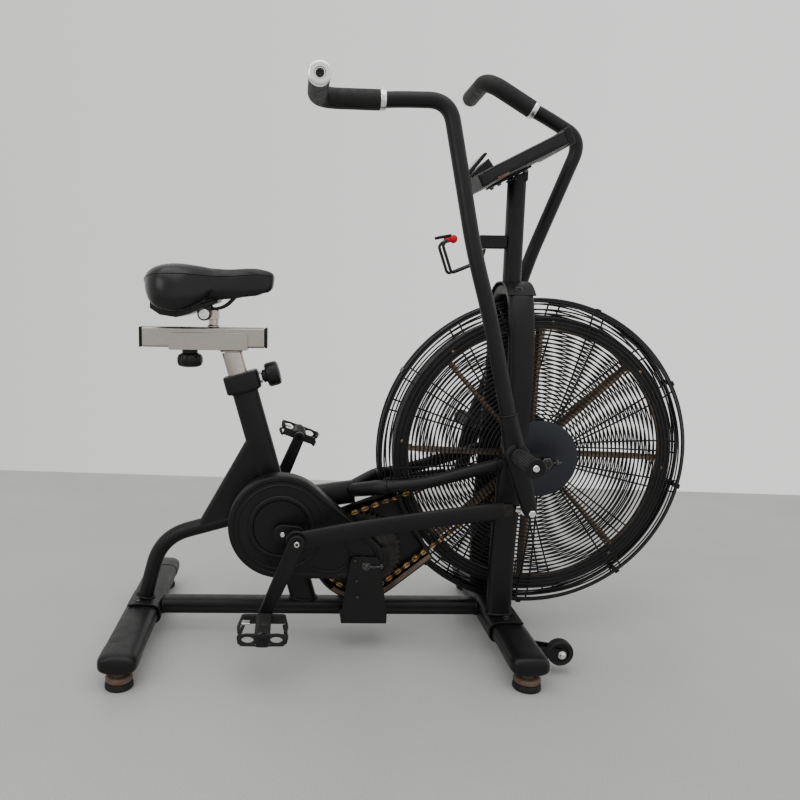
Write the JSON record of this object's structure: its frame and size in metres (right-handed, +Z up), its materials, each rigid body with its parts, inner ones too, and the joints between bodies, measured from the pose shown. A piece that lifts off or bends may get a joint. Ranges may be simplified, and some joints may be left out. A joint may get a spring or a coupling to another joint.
{
  "type": "air bike",
  "caption": "Stationary fan bike: caged paddle fan on a stabilised frame, driven by cranks through chains, with linked swing handles, foot pegs and an adjustable padded saddle.",
  "frame": {"origin": "centre of the bounding box on the floor, under the feet", "axes": "+X forward as the rider faces, +Y to the rider's left, +Z up"},
  "size_m": [1.309, 0.634, 1.3334],
  "materials": {
    "coat": "satin black textured powder coat",
    "steel": "brushed stainless",
    "rubber": "matte black rubber",
    "plastic": "moulded black plastic",
    "bright": "bright plated steel",
    "chain": "gold plated roller chain",
    "blade": "dark coat with brown dust",
    "vinyl": "soft sheen black vinyl",
    "red": "glossy red plastic"
  },
  "bodies": {
    "frame": {"rear_stabiliser": "coat", "rear_beam_bracket": "coat", "front_beam_bracket": "coat", "main_beam": "coat", "rear_right_foot": "rubber", "rear_left_foot": "rubber", "front_right_foot": "rubber", "front_left_foot": "rubber", "front_stabiliser": "coat", "seat_tube": "coat", "rear_tube": "coat", "brace_tube": "coat", "upper_tube": "coat", "fan_arch": "coat", "right_fan_stay": "coat", "left_fan_stay": "coat", "mast": "coat", "right_foot_peg": "rubber", "left_foot_peg": "rubber", "right_jackshaft_bracket": "coat", "left_jackshaft_bracket": "coat", "primary_chain": "chain", "second_chain": "chain", "crank_cover": "plastic", "chain_case": "plastic", "fan_axle": "bright", "right_cage_grille": "coat", "right_axle_bracket": "coat", "left_cage_grille": "coat", "left_axle_bracket": "coat", "console_housing": "coat", "bottle_holder": "steel", "bottle_holder_cap": "red"},
    "seat_post": {"seat_post": "steel", "seat_carriage": "steel"},
    "seat_slider": {"seat_slider": "steel", "saddle_stem": "steel"},
    "saddle": {"saddle": "vinyl", "saddle_rails": "steel"},
    "post_pin": {"post_pin_knob": "plastic"},
    "slider_knob": {"slider_knob": "plastic"},
    "crank": {"crank_spindle": "steel", "right_crank_web": "coat", "left_crank_web": "coat", "right_pedal_arm": "coat", "left_pedal_arm": "coat"},
    "right_pedal": {"right_pedal": "plastic"},
    "left_pedal": {"left_pedal": "plastic"},
    "right_rod": {"right_connecting_rod": "coat"},
    "left_rod": {"left_connecting_rod": "coat"},
    "right_handle": {"right_handle_arm": "coat", "right_grip": "rubber"},
    "left_handle": {"left_handle_arm": "coat", "left_grip": "rubber"},
    "jackshaft": {"jackshaft": "steel"},
    "fan": {"fan_wheel": "blade", "fan_rim": "coat"},
    "right_wheel": {"right_transport_wheel": "rubber"},
    "left_wheel": {"left_transport_wheel": "rubber"}
  },
  "joints": [
    {"name": "seat_height", "type": "slide", "parent": "frame", "child": "seat_post", "axis": [-0.2733, 0, 0.9619], "range_m": [-0.03, 0.12]},
    {"name": "seat_fore_aft", "type": "slide", "parent": "seat_post", "child": "seat_slider", "axis": [1, 0, 0], "range_m": [-0.05, 0.05]},
    {"name": "saddle_tilt", "type": "hinge", "parent": "seat_slider", "child": "saddle", "pos_m": [-0.46506, 0, 0.756], "axis": [0, 1, 0], "range_deg": [-8, 8]},
    {"name": "post_pin_pull", "type": "slide", "parent": "frame", "child": "post_pin", "axis": [0.9619, 0, 0.2733], "range_m": [0, 0.01], "stiffness_N_per_m": 600, "springref_m": -0.006},
    {"name": "slider_knob_turn", "type": "hinge", "parent": "seat_post", "child": "slider_knob", "pos_m": [-0.50106, 0, 0.654], "axis": [0, 0, 1], "continuous": true},
    {"name": "crank_spin", "type": "hinge", "parent": "frame", "child": "crank", "pos_m": [-0.28406, 0, 0.277], "axis": [0, 1, 0], "continuous": true},
    {"name": "right_pedal_spin", "type": "hinge", "parent": "crank", "child": "right_pedal", "pos_m": [-0.32105, -0.24, 0.11517], "axis": [0, 1, 0], "continuous": true},
    {"name": "left_pedal_spin", "type": "hinge", "parent": "crank", "child": "left_pedal", "pos_m": [-0.24707, 0.24, 0.43883], "axis": [0, 1, 0], "continuous": true},
    {"name": "right_rod_pin", "type": "hinge", "parent": "crank", "child": "right_rod", "pos_m": [-0.25306, -0.158, 0.277], "axis": [0, 1, 0], "continuous": true},
    {"name": "left_rod_pin", "type": "hinge", "parent": "crank", "child": "left_rod", "pos_m": [-0.31506, 0.158, 0.277], "axis": [0, 1, 0], "continuous": true},
    {"name": "right_handle_swing", "type": "hinge", "parent": "frame", "child": "right_handle", "pos_m": [0.20294, -0.186, 0.476], "axis": [0, 1, 0], "range_deg": [0, 29.4]},
    {"name": "left_handle_swing", "type": "hinge", "parent": "frame", "child": "left_handle", "pos_m": [0.20294, 0.186, 0.476], "axis": [0, 1, 0], "range_deg": [-29.4, 0]},
    {"name": "jackshaft_spin", "type": "hinge", "parent": "frame", "child": "jackshaft", "pos_m": [-0.10406, 0, 0.214], "axis": [0, 1, 0], "continuous": true},
    {"name": "fan_spin", "type": "hinge", "parent": "frame", "child": "fan", "pos_m": [0.29244, 0, 0.443], "axis": [0, 1, 0], "continuous": true},
    {"name": "right_wheel_spin", "type": "hinge", "parent": "frame", "child": "right_wheel", "pos_m": [0.31594, -0.2, 0.047], "axis": [0, 1, 0], "continuous": true},
    {"name": "left_wheel_spin", "type": "hinge", "parent": "frame", "child": "left_wheel", "pos_m": [0.31594, 0.2, 0.047], "axis": [0, 1, 0], "continuous": true}
  ],
  "couplings": [
    {"joint": "right_rod_pin", "follows": "crank_spin", "ratio": -1},
    {"joint": "left_rod_pin", "follows": "crank_spin", "ratio": -1},
    {"joint": "left_handle_swing", "follows": "right_handle_swing", "ratio": -1},
    {"joint": "jackshaft_spin", "follows": "crank_spin", "ratio": 2.75},
    {"joint": "fan_spin", "follows": "crank_spin", "ratio": 11.5}
  ]
}
